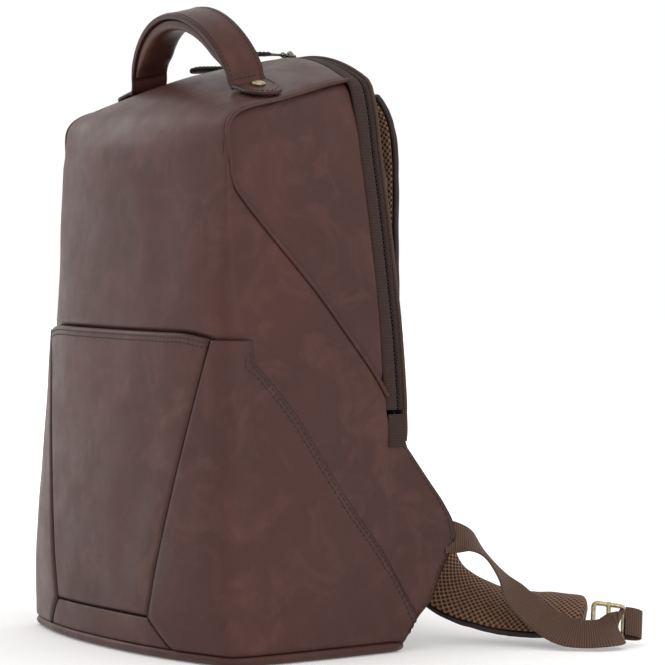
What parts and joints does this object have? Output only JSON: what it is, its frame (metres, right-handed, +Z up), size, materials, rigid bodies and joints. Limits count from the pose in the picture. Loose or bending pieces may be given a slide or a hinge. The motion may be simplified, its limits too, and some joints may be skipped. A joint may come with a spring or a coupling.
{
  "type": "leather backpack",
  "caption": "Rounded leather backpack with an inset upper side panel, front slip pocket, zip round the top, arched carry handle, mesh-padded back and adjustable shoulder straps.",
  "frame": {"origin": "centre of the base where the bag stands on the floor", "axes": "+Z up, -Y the front with the pocket, +Y the wearer's side, +X to the wearer's right when the bag's front is seen from the front, mirrored about X"},
  "size_m": [0.4292, 0.3408, 0.4619],
  "materials": {
    "leather": "waxed, smooth",
    "dark_leather": "smooth",
    "board": "matt",
    "lining": "woven",
    "mesh": "open knitted mesh",
    "foam": "closed-cell foam",
    "webbing": "ribbed weave",
    "zip_teeth": "satin",
    "brass": "antique satin"
  },
  "bodies": {
    "back": {"wrap_lower": "leather", "fold_band": "leather", "pocket_front": "leather", "pocket_side_right": "leather", "pocket_side_left": "leather", "pocket_strip": "leather", "base_panel": "leather", "base_board": "board", "wing_right": "leather", "wing_left": "leather", "back_panel": "lining", "frame_sheet": "board", "laptop_sleeve": "lining", "pad_top_right": "mesh", "pad_top_left": "mesh", "pad_low_right": "mesh", "pad_low_left": "mesh", "strap_yoke": "leather", "zip_tape_back": "webbing", "zip_coil_back": "zip_teeth", "zip_stop_right": "leather", "zip_stop_left": "leather"},
    "front": {"wrap_upper": "leather", "side_panel_right": "leather", "side_panel_left": "leather", "piping_right": "leather", "piping_left": "leather", "zip_tape_front": "webbing", "zip_coil_front": "zip_teeth", "organiser": "lining", "handle_foot_right": "leather", "handle_foot_left": "leather", "rivet_right": "brass", "rivet_left": "brass", "handle_plate": "board"},
    "handle": {"handle_strap": "leather", "handle_roll": "leather"},
    "zip_slider_right": {"slider_right": "brass"},
    "zip_slider_left": {"slider_left": "brass"},
    "zip_pull_right": {"pull_right": "brass", "pull_tab_right": "dark_leather"},
    "zip_pull_left": {"pull_left": "brass", "pull_tab_left": "dark_leather"},
    "strap_right": {"strap_leather_right": "leather", "strap_foam_right": "foam", "strap_mesh_right": "mesh", "webbing_right": "webbing", "adjuster_right": "brass", "web_loop_right": "webbing"},
    "strap_left": {"strap_leather_left": "leather", "strap_foam_left": "foam", "strap_mesh_left": "mesh", "webbing_left": "webbing", "adjuster_left": "brass", "web_loop_left": "webbing"}
  },
  "joints": [
    {"name": "front_tilt", "type": "hinge", "parent": "back", "child": "front", "pos_m": [0, 0.0722, 0.168], "axis": [1, 0, 0], "range_deg": [0, 14], "deforming": ["fold_band"]},
    {"name": "handle_flex", "type": "hinge", "parent": "front", "child": "handle", "pos_m": [0, -0.0145, 0.406], "axis": [1, 0, 0], "range_deg": [-15, 15], "stiffness_Nm_per_rad": 0.6},
    {"name": "slide_right", "type": "hinge", "parent": "front", "child": "zip_slider_right", "pos_m": [0, 0.0722, 0.241], "axis": [0, 1, 0], "range_deg": [0, 20]},
    {"name": "slide_left", "type": "hinge", "parent": "front", "child": "zip_slider_left", "pos_m": [0, 0.0722, 0.241], "axis": [0, 1, 0], "range_deg": [-6, 9]},
    {"name": "pull_right_lift", "type": "hinge", "parent": "zip_slider_right", "child": "zip_pull_right", "pos_m": [-0.01316, 0.066, 0.42914], "axis": [-0.9976, 0, -0.0698], "range_deg": [0, 100]},
    {"name": "pull_left_lift", "type": "hinge", "parent": "zip_slider_left", "child": "zip_pull_left", "pos_m": [-0.0614, 0.066, 0.41932], "axis": [-0.9455, 0, -0.3256], "range_deg": [0, 100]},
    {"name": "strap_swing_right", "type": "hinge", "parent": "back", "child": "strap_right", "pos_m": [0.076, 0.087, 0.394], "axis": [0.2034, 0.0916, -0.9748], "range_deg": [0, 30]},
    {"name": "strap_swing_left", "type": "hinge", "parent": "back", "child": "strap_left", "pos_m": [-0.076, 0.087, 0.394], "axis": [0.2034, -0.0916, 0.9748], "range_deg": [0, 30]}
  ]
}
